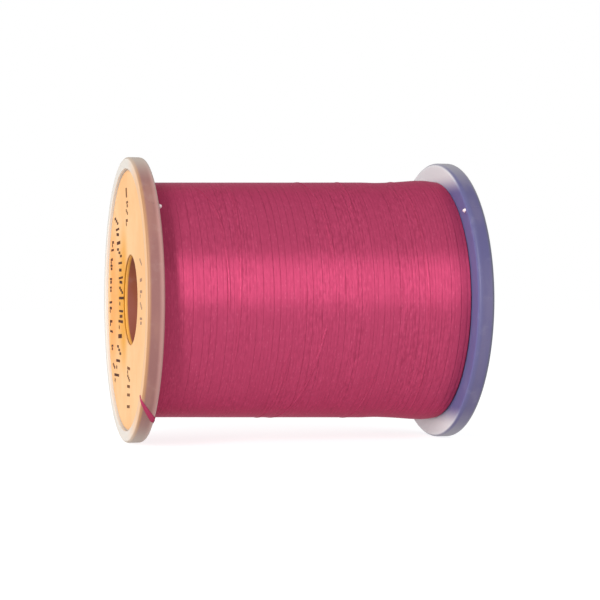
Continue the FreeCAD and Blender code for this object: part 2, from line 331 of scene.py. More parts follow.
def milky_plastic(name, rim, lip, shoulder, ring, near_ring_light, inside, shaded, bore, mouth_light, grazing_reflection):
    """Milky polypropylene. It is clear enough to take up the colours of the label and the thread
    behind it, and that light is painted into each zone's tint: painted light through the plastic on
    the rim, the lip, the near side of the ring, the bore and its mouth, a painted highlight on the
    rounding by the thread, painted shade on the inner face, and a painted reflection on faces seen
    at a grazing angle."""
    finish, tree, shader, place = new_finish(name)
    spot = add_node(tree, "ShaderNodeGroup", {0: place}, node_tree=round_place).outputs
    marks = add_node(tree, "ShaderNodeGroup", {0: place}, node_tree=handling_marks).outputs
    along = reckon(tree, "ABSOLUTE", spot["Along"])
    height = reckon(tree, "ABSOLUTE", spot["Up"])

    streaks = clouds(tree, scaled(tree, place, (1.0, 0.22, 0.22)), 1500.0, 3.0)
    patches = clouds(tree, place, 260.0)
    cloudy = reckon(tree, "MULTIPLY_ADD", streaks, 0.45, product(tree, patches, 0.55))
    # Painted light: the rim's two tints stand for the thread's and the label's colours coming through the
    # plastic.
    around = layered(tree, fade(tree, cloudy, 0.38, 0.62), *rim)
    # Painted highlight on the rounding by the thread, and painted light from the label along the lip by the
    # end face.
    rounding_highlight_share = fade(tree, along, inner_face + 0.5 * mm, inner_face + 0.1 * mm)
    around = layered(tree, rounding_highlight_share, around, shoulder)
    around = layered(tree, fade(tree, along, end_face - 0.34 * mm, end_face - 0.12 * mm), around, lip)
    # Painted reflection: faces seen at a grazing angle take a pale tint that stands for the white surround
    # reflected there.
    grazing = add_node(tree, "ShaderNodeLayerWeight", {"Blend": 0.5}).outputs["Facing"]
    grazing_reflection_share = product(tree, fade(tree, grazing, 0.4, 0.9), 0.75)
    around = layered(tree, grazing_reflection_share, around, grazing_reflection)

    # Painted light: the ring's near side is painted in the label's light showing through the plastic. The
    # inner face by the thread gets painted shade with the thread's pink in it, except near its top and
    # bottom, where it is painted as lit.
    outside = layered(tree, fade(tree, spot["Across"], -1.0 * mm, -7.5 * mm), ring, near_ring_light)
    clear = layered(tree, fade(tree, height, 8.3 * mm, 10.0 * mm), shaded, inside)
    thread_side = fade(tree, along, inner_face + 0.3 * mm, inner_face + 0.1 * mm)
    flats = layered(tree, thread_side, outside, clear)
    on_rim = fade(tree, spot["Radius"], rim_radius - 0.2 * mm, rim_radius - 0.06 * mm)
    body = layered(tree, on_rim, flats, around)
    # Painted light and shade in the bore: reddish brown for the thread's light through the tube wall,
    # darkened as shade, and a golden mouth where light comes through the label.
    by_mouth = fade(tree, along, bore_mouth - 0.28 * mm, bore_mouth - 0.12 * mm)
    tunnel = layered(tree, by_mouth, layered(tree, fade(tree, cloudy, 0.4, 0.6), *bore), mouth_light)
    in_bore = fade(tree, spot["Radius"], bore_radius + 0.2 * mm, bore_radius + 0.05 * mm)
    tint = layered(tree, in_bore, body, tunnel)
    past_face = fade(tree, along, inner_face, inner_face - 0.08 * mm)
    torn = product(tree, past_face, fade(tree, spot["Radius"], 10.0 * mm, 10.2 * mm))
    tint = layered(tree, torn, tint, dye(244, 226, 226))
    scuffed = layered(tree, product(tree, marks["Scuffs"], 0.04), tint, dye(236, 230, 226))
    specked = layered(tree, product(tree, marks["Specks"], 0.3), scuffed, dye(70, 60, 66))
    tree.links.new(specked, shader.inputs["Base Color"])
    gloss = reckon(tree, "MULTIPLY_ADD", marks["Scuffs"], 0.12, 0.42)
    tree.links.new(reckon(tree, "MULTIPLY_ADD", streaks, 0.06, gloss), shader.inputs["Roughness"])
    shader.inputs["IOR"].default_value = 1.49
    shader.inputs["Specular IOR Level"].default_value = 0.35
    relief(tree, shader, marks["Height"], 0.25, 0.004 * mm)
    return finish


moulding_outline = softened(
    [
        (dished_floor(bore_radius), bore_radius, 0.06 * mm),
        (dished_floor(recess_radius), recess_radius, 0.05 * mm),
        (end_face, recess_radius, 0.07 * mm),
        (end_face, rim_radius, outer_round),
        (inner_face, rim_radius, inner_round),
        (inner_face, spigot_outer, 0.1 * mm),
        (spigot_end, spigot_outer, 0.15 * mm),
        (spigot_end, spigot_inner, 0.15 * mm),
        (inner_face, spigot_inner, 0.1 * mm),
        (inner_face, hub_radius, 0.1 * mm),
        (hub_end, hub_radius, 0.1 * mm),
        (hub_end, bore_radius, 0.1 * mm),
    ]
)
# The zone tints below are painted light and shade over the milky plastic's near-white ring.
warm_plastic = milky_plastic(
    "milky_plastic_warm",
    rim=(dye(140, 96, 92), dye(152, 108, 99)),
    lip=dye(172, 126, 90),
    shoulder=dye(184, 138, 132),
    ring=dye(221, 214, 205),
    near_ring_light=dye(228, 182, 138),
    inside=dye(176, 128, 126),
    shaded=dye(170, 118, 118),
    bore=(dye(150, 84, 58), dye(152, 88, 74)),
    mouth_light=dye(250, 182, 84),
    grazing_reflection=dye(198, 188, 174),
)
cool_plastic = milky_plastic(
    "milky_plastic_cool",
    rim=(dye(86, 82, 122), dye(98, 92, 126)),
    lip=dye(92, 92, 112),
    shoulder=dye(90, 88, 128),
    ring=dye(206, 206, 216),
    near_ring_light=dye(200, 202, 220),
    inside=dye(212, 212, 214),
    shaded=dye(100, 100, 148),
    bore=(dye(80, 82, 140), dye(104, 104, 160)),
    mouth_light=dye(120, 124, 180),
    grazing_reflection=dye(172, 169, 174),
)
for end, side, plastic in (("front", -1, warm_plastic), ("rear", 1, cool_plastic)):
    moulding = bmesh.new()
    turned(moulding, moulding_outline, side)
    gate_stub(moulding, side)
    witness_line(moulding, side)
    piece = finished_piece(f"{end}_moulding", moulding, "flange_plastic", f"{end}_flange")
    piece.data.materials.append(plastic)

# ---------------------------------------------------------------------------------------------
# Stiffening webs. Four flat webs join each hub tube to the ring round it, moulded in one with
# them, and are hidden inside the barrel once the spool is together.
# ---------------------------------------------------------------------------------------------


def grown(name, start, tree, finish, settings, body_slot, *stands_for):
    """Runs a geometry tree on a start mesh, keeps its result as a plain mesh, drops the tree, and
    joins the piece to the root body."""
    piece = bpy.data.objects.new(name, start)
    bpy.context.scene.collection.objects.link(piece)
    modifier = piece.modifiers.new("made_by_rule", "NODES")
    modifier.node_group = tree
    for socket in tree.interface.items_tree:
        if socket.in_out == "INPUT" and socket.name in settings:
            modifier[socket.identifier] = settings[socket.name]
    tree.nodes["Set Material"].inputs["Material"].default_value = finish
    bpy.context.view_layer.update()
    evaluated = piece.evaluated_get(bpy.context.evaluated_depsgraph_get())
    result = bpy.data.meshes.new_from_object(evaluated)
    piece.modifiers.clear()
    piece.data = result
    result.name = name
    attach(piece, "root")
    if stands_for:
        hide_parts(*stands_for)
    return piece


def deliver(tree, geometry, wanted):
    """Ends a geometry tree: its instances made real, and the piece's material on every face."""
    real = add_node(tree, "GeometryNodeRealizeInstances", {0: geometry}).outputs[0]
    dressed = add_node(tree, "GeometryNodeSetMaterial", {"Geometry": real}).outputs[0]
    tree.links.new(dressed, wanted["Geometry"])


def make_webs():
    """A thin block, stood on each of evenly spaced spokes round X between two radii."""
    tree, given, wanted = group_of(
        "hub_webs",
        "GeometryNodeTree",
        [
            ("Webs", "NodeSocketInt", 4),
            ("Inner Radius", "NodeSocketFloat", hub_radius - 0.1 * mm),
            ("Outer Radius", "NodeSocketFloat", spigot_inner + 0.1 * mm),
            ("Thickness", "NodeSocketFloat", 0.8 * mm),
            ("Start", "NodeSocketFloat", spigot_end),
            ("Finish", "NodeSocketFloat", inner_face),
        ],
        [("Geometry", "NodeSocketGeometry")],
    )
    middle = product(tree, reckon(tree, "ADD", given["Start"], given["Finish"]), 0.5)
    depth = reckon(tree, "SUBTRACT", given["Outer Radius"], given["Inner Radius"])
    reach = reckon(tree, "MULTIPLY_ADD", depth, 0.5, given["Inner Radius"])
    length = reckon(tree, "ABSOLUTE", reckon(tree, "SUBTRACT", given["Finish"], given["Start"]))
    size_wires = {"X": length, "Y": given["Thickness"], "Z": depth}
    size = add_node(tree, "ShaderNodeCombineXYZ", size_wires).outputs[0]
    block = add_node(tree, "GeometryNodeMeshCube", {"Size": size}).outputs["Mesh"]
    spokes = add_node(tree, "GeometryNodePoints", {"Count": given["Webs"]}).outputs[0]
    number = add_node(tree, "GeometryNodeInputIndex").outputs[0]
    angle = reckon(tree, "DIVIDE", product(tree, number, full_turn), given["Webs"])
    foot_wires = {
        "X": middle,
        "Y": product(tree, reckon(tree, "SINE", angle), reach, -1.0),
        "Z": product(tree, reckon(tree, "COSINE", angle), reach),
    }
    foot = add_node(tree, "ShaderNodeCombineXYZ", foot_wires).outputs[0]
    placed = add_node(tree, "GeometryNodeSetPosition", {"Geometry": spokes, "Position": foot}).outputs[0]
    turn = add_node(tree, "ShaderNodeCombineXYZ", {"X": angle}).outputs[0]
    stood_wires = {"Points": placed, "Instance": block, "Rotation": turn}
    stood = add_node(tree, "GeometryNodeInstanceOnPoints", stood_wires).outputs[0]
    deliver(tree, stood, wanted)
    return tree


hub_webs = make_webs()
for end, side, plastic in (("front", -1, warm_plastic), ("rear", 1, cool_plastic)):
    name = f"{end}_hub_webs"
    span = {"Start": side * spigot_end, "Finish": side * (inner_face + 0.05 * mm)}
    grown(name, bpy.data.meshes.new(name), hub_webs, plastic, span, "flange_plastic")

# ---------------------------------------------------------------------------------------------
# Barrel. A plain extruded tube of the same milky plastic, which the two mouldings plug into. The
# thread covers all of it.
# ---------------------------------------------------------------------------------------------
barrel_finish, tree, shader, place = new_finish("barrel_plastic")
marks = add_node(tree, "ShaderNodeGroup", {0: place}, node_tree=handling_marks).outputs
lines = clouds(tree, scaled(tree, place, (0.1, 1.0, 1.0)), 2600.0)
tint = layered(tree, lines, dye(226, 212, 214), dye(240, 236, 236))
tree.links.new(tint, shader.inputs["Base Color"])
tree.links.new(reckon(tree, "MULTIPLY_ADD", marks["Scuffs"], 0.2, 0.35), shader.inputs["Roughness"])
relief(tree, shader, lines, 0.2, 0.004 * mm)


def refinished(name, finish):
    """Gives a plain CAD piece its finish in place of its flat colour."""
    piece = frame["nodes"][name]
    piece.data.materials.clear()
    piece.data.materials.append(finish)


refinished("barrel", barrel_finish)

# ---------------------------------------------------------------------------------------------
# End labels. A round die-cut label of coated paper is stuck on the dished floor of each recess:
# a warm orange-cream one in front and a blue-violet one behind, each with a hole for the bore.
# ---------------------------------------------------------------------------------------------
label_radius = 10.1 * mm
label_hole = 3.52 * mm
paper = 0.12 * mm


def label_paper(name, ground, edge_shading, hole_side_shading, far_side_shading, depth_tint):
    """Coated label paper: a cloudy printed ground and paper fibres under the coating, with painted
    light and shade. On the warm label the ground grows warmer towards one side and the hole: painted
    light against the shade of the recess wall, and painted shade where the paper lies over the bore
    with no plastic behind it. The band along the cut edge is painted too: a darker shadow line on the
    warm label, paler on the cool one."""
    finish, tree, shader, place = new_finish(name)
    spot = add_node(tree, "ShaderNodeGroup", {0: place}, node_tree=round_place).outputs
    marks = add_node(tree, "ShaderNodeGroup", {0: place}, node_tree=handling_marks).outputs
    wash = clouds(tree, place, 210.0, 3.0, 0.55)
    base = layered(tree, fade(tree, wash, 0.35, 0.65), *ground)

    # Painted light and shade on the far side between the hole and the edge: brighter and warmer on the warm
    # label, against the recess wall's shade, and darker on the cool one.
    side_share = fade(tree, spot["Across"], 4.6 * mm, 7.4 * mm)
    side_end = fade(tree, spot["Across"], 9.8 * mm, 8.4 * mm)
    height = reckon(tree, "ABSOLUTE", spot["Up"])
    middle = fade(tree, height, 7.5 * mm, 2.0 * mm)
    with_far_side_shading = layered(tree, product(tree, side_share, side_end, middle, 0.85), base, far_side_shading)
    # Painted shading by the hole on the far side, where the paper lies over the bore with no plastic behind
    # it: darker and more golden on the warm label, paler on the cool one.
    far_side = fade(tree, spot["Across"], 0.6 * mm, 3.2 * mm)
    by_hole = product(tree, fade(tree, spot["Radius"], 7.4 * mm, 4.2 * mm), far_side)
    with_hole_shading = layered(tree, by_hole, with_far_side_shading, hole_side_shading)

    # Painted shading along the cut edge: a shadow line at the recess step on the warm label, and a paler band
    # on the cool one.
    edge = fade(tree, spot["Radius"], label_radius - 0.22 * mm, label_radius - 0.02 * mm)
    with_edge_shading = layered(tree, product(tree, edge, 0.8), with_hole_shading, edge_shading)
    cut = fade(tree, spot["Radius"], label_hole + 0.1 * mm, label_hole + 0.02 * mm)
    punched = layered(tree, product(tree, cut, 0.2), with_edge_shading, depth_tint)
    specked = layered(tree, product(tree, marks["Specks"], 0.25), punched, depth_tint)
    tree.links.new(specked, shader.inputs["Base Color"])
    fibres = clouds(tree, place, 7000.0, 4.0, 0.7)
    gloss = reckon(tree, "MULTIPLY_ADD", fibres, 0.16, 0.42)
    tree.links.new(gloss, shader.inputs["Roughness"])
    shader.inputs["IOR"].default_value = 1.42
    shader.inputs["Specular IOR Level"].default_value = 0.22
    relief(tree, shader, fibres, 0.3, 0.004 * mm)
    return finish


# The far-side, hole-side and edge tints below are painted light and shade over the printed ground.
warm_paper = label_paper(
    "label_paper_warm",
    ground=(dye(240, 184, 126), dye(244, 194, 140)),
    edge_shading=dye(222, 172, 124),
    hole_side_shading=dye(230, 160, 50),
    far_side_shading=dye(252, 162, 78),
    depth_tint=dye(150, 92, 40),
)
cool_paper = label_paper(
    "label_paper_cool",
    ground=(dye(84, 90, 168), dye(96, 104, 180)),
    edge_shading=dye(150, 152, 200),
    hole_side_shading=dye(120, 128, 206),
    far_side_shading=dye(74, 86, 170),
    depth_tint=dye(50, 54, 110),
)
label_outline = softened(
    [
        (dished_floor(label_hole), label_hole, 0.0),
        (dished_floor(label_radius), label_radius, 0.0),
        (dished_floor(label_radius) + paper, label_radius, 0.03 * mm),
        (dished_floor(label_hole) + paper, label_hole, 0.03 * mm),
    ],
    steps=3,
)
for end, side, sheet in (("front", -1, warm_paper), ("rear", 1, cool_paper)):
    disc = bmesh.new()
    turned(disc, label_outline, side)
    piece = finished_piece(f"{end}_label_disc", disc, f"{end}_label_paper", f"{end}_label")
    piece.data.materials.append(sheet)

# ---------------------------------------------------------------------------------------------
# Printed marks. The warm label is printed in brown inks and the cool one in a pale ink, here with
# dashes and dots that say nothing: a bold bowed column, an arc by the edge, and short columns.
# ---------------------------------------------------------------------------------------------
ink_depth = 0.006 * mm
floor_slope = (dished_floor(recess_radius) - dished_floor(bore_radius)) / (recess_radius - bore_radius)


def make_print():
    """Lays a small flat dash on each point of the start mesh, sized and turned by the point's own
    attributes, and presses them all onto the dished paper."""
    tree, given, wanted = group_of(
        "printed_marks",
        "GeometryNodeTree",
        [
            ("Geometry", "NodeSocketGeometry", None),
            ("Paper at Hole", "NodeSocketFloat", dished_floor(bore_radius) + paper),
            ("Paper Slope", "NodeSocketFloat", floor_slope),
            ("Side", "NodeSocketFloat", -1.0),
        ],
        [("Geometry", "NodeSocketGeometry")],
    )
    block = add_node(tree, "GeometryNodeMeshCube").outputs["Mesh"]
    size, turn = (
        add_node(tree, "GeometryNodeInputNamedAttribute", {"Name": name}, data_type="FLOAT_VECTOR").outputs[0]
        for name in ("mark_size", "mark_turn")
    )
    stamp_wires = {"Points": given["Geometry"], "Instance": block, "Rotation": turn, "Scale": size}
    stamped = add_node(tree, "GeometryNodeInstanceOnPoints", stamp_wires).outputs[0]
    real = add_node(tree, "GeometryNodeRealizeInstances", {0: stamped}).outputs[0]
    here = add_node(tree, "GeometryNodeInputPosition").outputs[0]
    parts = add_node(tree, "ShaderNodeSeparateXYZ", {0: here}).outputs
    radius = radius_of(tree, parts)
    beyond = reckon(tree, "SUBTRACT", radius, bore_radius)
    surface = reckon(tree, "MULTIPLY_ADD", beyond, given["Paper Slope"], given["Paper at Hole"])
    level = reckon(tree, "ADD", surface, parts["X"])
    pressed_wires = {"X": product(tree, level, given["Side"]), "Y": parts["Y"], "Z": parts["Z"]}
    pressed = add_node(tree, "ShaderNodeCombineXYZ", pressed_wires).outputs[0]
    laid = add_node(tree, "GeometryNodeSetPosition", {"Geometry": real, "Position": pressed}).outputs[0]
    deliver(tree, laid, wanted)
    return tree


def printing_ink(name, full, thin):
    """Ink that lies unevenly on the coated paper."""
    finish, tree, shader, place = new_finish(name)
    patchy = clouds(tree, place, 2400.0, 4.0, 0.65)
    tree.links.new(layered(tree, fade(tree, patchy, 0.4, 0.68), full, thin), shader.inputs["Base Color"])
    tree.links.new(reckon(tree, "MULTIPLY_ADD", patchy, 0.2, 0.45), shader.inputs["Roughness"])
    shader.inputs["Specular IOR Level"].default_value = 0.1
    relief(tree, shader, patchy, 0.2, 0.003 * mm)
    return finish


def scattered(chance, across, up, wide, tall):
    """One small mark in a space that size: stepped dashes, two bars, a bar with a dot, or a bar.
    Each is an (across, up, length, width, turn), in millimetres."""
    kind = chance.randrange(4)
    lean = chance.uniform(-0.05, 0.05)
    step, drop = 0.3 * wide, 0.3 * tall
    if kind == 0:
        bars = [(place * step, place * drop, 0.42 * wide, 0.21, lean) for place in (-1, 0, 1)]
    elif kind == 1:
        bars = [(0.0, drop, wide, 0.18, lean), (0.0, -drop, 0.7 * wide, 0.24, -lean)]
    elif kind == 2:
        bars = [(0.0, drop, wide, 0.22, lean), (step, -drop, 0.4, 0.28, 0.3)]
    else:
        bars = [(0.0, 0.0, wide, min(0.34, 0.45 * tall), lean)]
    return [(across + over, up + rise, length, width, turn) for over, rise, length, width, turn in bars]


def bold_column(chance):
    """A bowed column of bold marks on the far side of the hole."""
    marks = []
    height = 6.4
    while height > -6.6:
        tall = chance.uniform(0.55, 0.95)
        across = 4.4 + 0.034 * height * height
        marks += scattered(chance, across, height, chance.uniform(1.5, 2.3), tall)
        height -= tall + chance.uniform(0.12, 0.3)
    return marks


def edge_arc(chance):
    """An arc of small marks near the label's far edge."""
    marks = []
    for height in (4.6, 4.1, 3.2, 2.7, 1.6, 0.9, -0.2, -0.8, -1.9, -2.6, -3.9, -5.4):
        across = math.sqrt(8.9 * 8.9 - height * height)
        marks += scattered(chance, across, height, chance.uniform(0.8, 1.2), 0.42)
    return marks


def short_columns(chance):
    """Short columns of marks over and under the hole."""
    marks = [(0.7, 8.4, 0.6, 0.75, 0.0)]
    for across, height in ((0.5, 7.5), (0.8, 6.9), (1.0, 6.1)):
        marks += scattered(chance, across, height, 0.9, 0.45)
    for number, height in enumerate((-5.5, -6.1, -6.75, -7.4, -8.3)):
        marks += scattered(chance, 0.3 - 0.14 * number, height, 1.4, 0.5)
    return marks


def side_column(chance):
    """A pale column between the hole and the near edge."""
    marks = []
    for height in (2.84, 1.49, 0.45, -0.45, -1.57):
        marks += scattered(chance, -5.7, height, 1.3, 0.55)
    return marks


def printed(name, side, body_slot, ink, marks):
    """Prints one set of marks on the label at that side."""
    points = bpy.data.meshes.new(name)
    points.from_pydata([(0.0, across * mm, up * mm) for across, up, *_ in marks], [], [])
    sizes = points.attributes.new("mark_size", "FLOAT_VECTOR", "POINT")
    turns = points.attributes.new("mark_turn", "FLOAT_VECTOR", "POINT")
    for number, (_, _, length, width, turn) in enumerate(marks):
        sizes.data[number].vector = (ink_depth, length * mm, width * mm)
        turns.data[number].vector = (turn, 0.0, 0.0)
    piece = grown(name, points, print_tree, ink, {"Side": float(side)}, body_slot)
    if side < 0:
        piece.data.flip_normals()


print_tree = make_print()
brown_ink = printing_ink("brown_ink", dye(58, 20, 2), dye(112, 56, 12))
pale_ink = printing_ink("pale_brown_ink", dye(96, 54, 20), dye(138, 88, 42))
faded_ink = printing_ink("faded_ink", dye(150, 112, 92), dye(196, 152, 116))
white_ink = printing_ink("white_ink", dye(226, 226, 240), dye(176, 180, 220))
chance = random.Random(7)
front_print = (
    ("front_print_bold", brown_ink, bold_column(chance) + edge_arc(chance)),
    ("front_print_small", pale_ink, short_columns(chance)),
    ("front_print_faded", faded_ink, side_column(chance)),
)
for name, ink, strokes in front_print:
    printed(name, -1, "front_label_paper", ink, strokes)
chance = random.Random(11)
rear_strokes = bold_column(chance) + edge_arc(chance) + short_columns(chance)
printed("rear_print", 1, "rear_label_paper", white_ink, rear_strokes)

# ---------------------------------------------------------------------------------------------
# Wound thread. Flat waxed nylon filament, about a third of a millimetre wide, wound in close
# turns that lie like shingles, with a few last turns that cross the others at a slant.
# ---------------------------------------------------------------------------------------------
thread_width = 0.36 * mm
thread_lay = 0.06 * mm
crown = 0.006 * mm
front_radius = 9.15 * mm
back_radius = 9.51 * mm
back_place = 8.7 * mm
middle_radius = 9.4 * mm


def make_filament_lines():
    """The filaments of the flat thread, from a place given as (along, across) in metres: fine
    mottled lines, slow changes of tone from turn to turn, and glints where a filament turns over."""
    tree, given, wanted = group_of(
        "filament_lines",
        "ShaderNodeTree",
        [("Place", "NodeSocketVector", None), ("Filament Size", "NodeSocketFloat", 0.09 * mm)],
        [("Height", "NodeSocketFloat"), ("Tone", "NodeSocketFloat"), ("Glints", "NodeSocketFloat")],
    )
    finer = reckon(tree, "DIVIDE", 1.0, given["Filament Size"])
    stretch_wires = {"X": product(tree, finer, 0.035), "Y": finer, "Z": 1.0}
    stretch = add_node(tree, "ShaderNodeCombineXYZ", stretch_wires).outputs[0]
    lines = clouds(tree, scaled(tree, given["Place"], stretch), 1.0, 3.0, 0.6)
    mottle = clouds(tree, scaled(tree, given["Place"], (1800.0, 5200.0, 1.0)), 1.0)
    tone = clouds(tree, scaled(tree, given["Place"], (160.0, 900.0, 1.0)), 1.0, 3.0, 0.6)
    spot_wires = {"Vector": scaled(tree, given["Place"], (3200.0, 11000.0, 1.0)), "Scale": 1.0}
    spots = add_node(tree, "ShaderNodeTexVoronoi", spot_wires)
    near = fade(tree, spots.outputs["Distance"], 0.5, 0.15)
    chosen = add_node(tree, "ShaderNodeSeparateColor", {0: spots.outputs["Color"]}).outputs[0]
    glints = product(tree, near, fade(tree, chosen, 0.84, 0.9))
    tree.links.new(reckon(tree, "MULTIPLY_ADD", mottle, 1.3, lines), wanted["Height"])
    tree.links.new(tone, wanted["Tone"])
    tree.links.new(glints, wanted["Glints"])
    return tree


filament_lines = make_filament_lines()


def thread_finish(name, deep, bright, place_kind):
    """Raspberry-pink nylon with a silky shine that runs round the spool. Laid thread follows its
    own thread_place map, and packed thread the round of the spool."""
    finish, tree, shader, place = new_finish(name)
    spot = add_node(tree, "ShaderNodeGroup", {0: place}, node_tree=round_place).outputs
    if place_kind == "laid":
        laid = add_node(tree, "ShaderNodeUVMap", uv_map="thread_place").outputs[0]
    else:
        sides = {"X": spot["Up"], "Y": spot["Along"], "Z": spot["Radius"]}
        laid = add_node(tree, "ShaderNodeCombineXYZ", sides).outputs[0]
    lines = add_node(tree, "ShaderNodeGroup", {0: laid}, node_tree=filament_lines).outputs
    bands = clouds(tree, scaled(tree, place, (1.0, 0.12, 0.12)), 420.0, 3.0, 0.6)
    swing = reckon(tree, "MULTIPLY_ADD", fade(tree, bands, 0.44, 0.66), 0.65, 0.35)
    tone = reckon(tree, "MULTIPLY_ADD", lines["Height"], 0.35, product(tree, lines["Tone"], 0.2))
    spread = reckon(tree, "MULTIPLY_ADD", reckon(tree, "SUBTRACT", tone, 0.5), swing, 0.5)
    pink = layered(tree, fade(tree, spread, 0.38, 0.62), deep, bright)
    # Painted glints: the glint spots are also painted a brighter pink in the base colour.
    with_painted_glints = layered(tree, product(tree, lines["Glints"], 0.2), pink, dye(228, 120, 152))
    tree.links.new(with_painted_glints, shader.inputs["Base Color"])
    rough = reckon(tree, "MULTIPLY_ADD", lines["Glints"], -0.12, 0.40)
    tree.links.new(reckon(tree, "MULTIPLY_ADD", lines["Height"], 0.03, rough), shader.inputs["Roughness"])
    shader.inputs["Metallic"].default_value = 0.5
    shader.inputs["IOR"].default_value = 1.45
    shader.inputs["Specular IOR Level"].default_value = 0.1
    shader.inputs["Specular Tint"].default_value = dye(214, 110, 150)
    shader.inputs["Anisotropic"].default_value = 0.95
    shader.inputs["Anisotropic Rotation"].default_value = 0.25
    height = reckon(tree, "MULTIPLY_ADD", lines["Glints"], 1.2, lines["Height"])
    relief(tree, shader, height, product(tree, swing, 0.4), 0.009 * mm)
    tangent = add_node(tree, "ShaderNodeTangent", direction_type="RADIAL", axis="X").outputs[0]
    tree.links.new(tangent, shader.inputs["Tangent"])
    return finish


laid_thread = thread_finish("thread_laid", dye(170, 60, 93), dye(196, 74, 111), "laid")
# Painted shade: the packed thread under the last turns is a darker copy of the same thread.
shaded_packed_thread = thread_finish("thread_packed_shaded", dye(150, 44, 78), dye(180, 56, 92), "packed")


def make_winding():
    """A flat thread laid along a helix on the winding's profile. A grid is rolled into it: one way
    runs along the thread, the other round its flat oval section."""
    tree, given, wanted = group_of(
        "winding",
        "GeometryNodeTree",
        [
            ("Turns", "NodeSocketFloat", 94.0),
            ("Steps", "NodeSocketInt", 9024),
            ("Start Angle", "NodeSocketFloat", math.pi),
            ("Start", "NodeSocketFloat", -11.8 * mm),
            ("Finish", "NodeSocketFloat", 11.8 * mm),
            ("Width", "NodeSocketFloat", thread_width),
            ("Crown", "NodeSocketFloat", crown),
            ("Thickness", "NodeSocketFloat", thread_lay),
            ("Tilt", "NodeSocketFloat", 0.012),
            ("Lift", "NodeSocketFloat", 0.0),
            ("Dive", "NodeSocketFloat", 0.0),
            ("Wander", "NodeSocketFloat", 0.09 * mm),
            ("Unevenness", "NodeSocketFloat", 0.008 * mm),
            ("Bend", "NodeSocketFloat", 1.0),
            ("Seed", "NodeSocketFloat", 3.0),
        ],
        [("Geometry", "NodeSocketGeometry")],
    )
    sheet_wires = {"Size X": 1.0, "Size Y": 1.0, "Vertices X": given["Steps"], "Vertices Y": 9}
    sheet = add_node(tree, "GeometryNodeMeshGrid", sheet_wires).outputs["Mesh"]
    corner = add_node(tree, "GeometryNodeInputPosition").outputs[0]
    parts = add_node(tree, "ShaderNodeSeparateXYZ", {0: corner}).outputs
    share = reckon(tree, "ADD", parts["X"], 0.5)
    section = product(tree, reckon(tree, "ADD", parts["Y"], 0.5), full_turn)

    turns = product(tree, share, given["Turns"])
    angle = reckon(tree, "MULTIPLY_ADD", turns, full_turn, given["Start Angle"])
    left = reckon(tree, "POWER", reckon(tree, "SUBTRACT", 1.0, share), given["Bend"])
    bent = reckon(tree, "SUBTRACT", 1.0, left)
    length = reckon(tree, "SUBTRACT", given["Finish"], given["Start"])
    lead = reckon(tree, "MULTIPLY_ADD", bent, length, given["Start"])
    noise_wires = {"W": reckon(tree, "ADD", turns, given["Seed"]), "Scale": 1.1, "Detail": 2.0}
    noise = add_node(tree, "ShaderNodeTexNoise", noise_wires, noise_dimensions="1D").outputs["Fac"]
    drift = product(tree, reckon(tree, "SUBTRACT", noise, 0.5), given["Wander"])
    centre = reckon(tree, "MULTIPLY_ADD", drift, 2.0, lead)
    seed = reckon(tree, "MULTIPLY_ADD", given["Seed"], 7.0, turns)
    lump_wires = {"W": seed, "Scale": 1.3, "Detail": 2.0}
    lump = add_node(tree, "ShaderNodeTexNoise", lump_wires, noise_dimensions="1D").outputs["Fac"]
    rise = product(tree, reckon(tree, "SUBTRACT", lump, 0.5), given["Unevenness"])

    near_end = reckon(tree, "MINIMUM", share, reckon(tree, "SUBTRACT", 1.0, share))
    tucked = product(tree, near_end, reckon(tree, "ABSOLUTE", given["Turns"]))
    open_share = fade(tree, tucked, 0.0, 0.004)
    out_share = fade(tree, tucked, 0.0, 0.05)
    half = product(tree, given["Width"], 0.5, open_share)
    sideways = product(tree, reckon(tree, "COSINE", section), half)
    sine = reckon(tree, "SINE", section)
    over = product(tree, reckon(tree, "MAXIMUM", sine, 0.0), given["Crown"])
    under = product(tree, reckon(tree, "MINIMUM", sine, 0.0), given["Thickness"])
    swell = product(tree, reckon(tree, "ADD", over, under), open_share)
    leaning = reckon(tree, "MULTIPLY_ADD", sideways, given["Tilt"], swell)

    along = reckon(tree, "ADD", centre, sideways)
    slope = (back_radius - front_radius) / (back_place + inner_face)
    profile = reckon(tree, "MULTIPLY_ADD", along, slope, front_radius + inner_face * slope)
    shoulder = product(tree, fade(tree, along, 7.9 * mm, 10.7 * mm), 0.14 * mm)
    dip_in = fade(tree, along, 5.6 * mm, 7.0 * mm)
    dip_out = fade(tree, along, 8.4 * mm, 7.0 * mm)
    dip = product(tree, dip_in, dip_out, -0.035 * mm)
    last = product(tree, fade(tree, along, 10.9 * mm, 12.0 * mm), -0.11 * mm)
    for change in (shoulder, dip, last):
        profile = reckon(tree, "ADD", profile, change)
    bedded = reckon(tree, "SUBTRACT", profile, given["Crown"])
    diving = reckon(tree, "SUBTRACT", 1.0, out_share)
    sunk = product(tree, diving, given["Dive"])
    lifted = reckon(tree, "MULTIPLY_ADD", out_share, given["Lift"], reckon(tree, "SUBTRACT", bedded, sunk))
    height = reckon(tree, "ADD", reckon(tree, "ADD", lifted, rise), leaning)
    place_wires = {
        "X": along,
        "Y": product(tree, reckon(tree, "COSINE", angle), height, -1.0),
        "Z": product(tree, reckon(tree, "SINE", angle), height),
    }
    place = add_node(tree, "ShaderNodeCombineXYZ", place_wires).outputs[0]

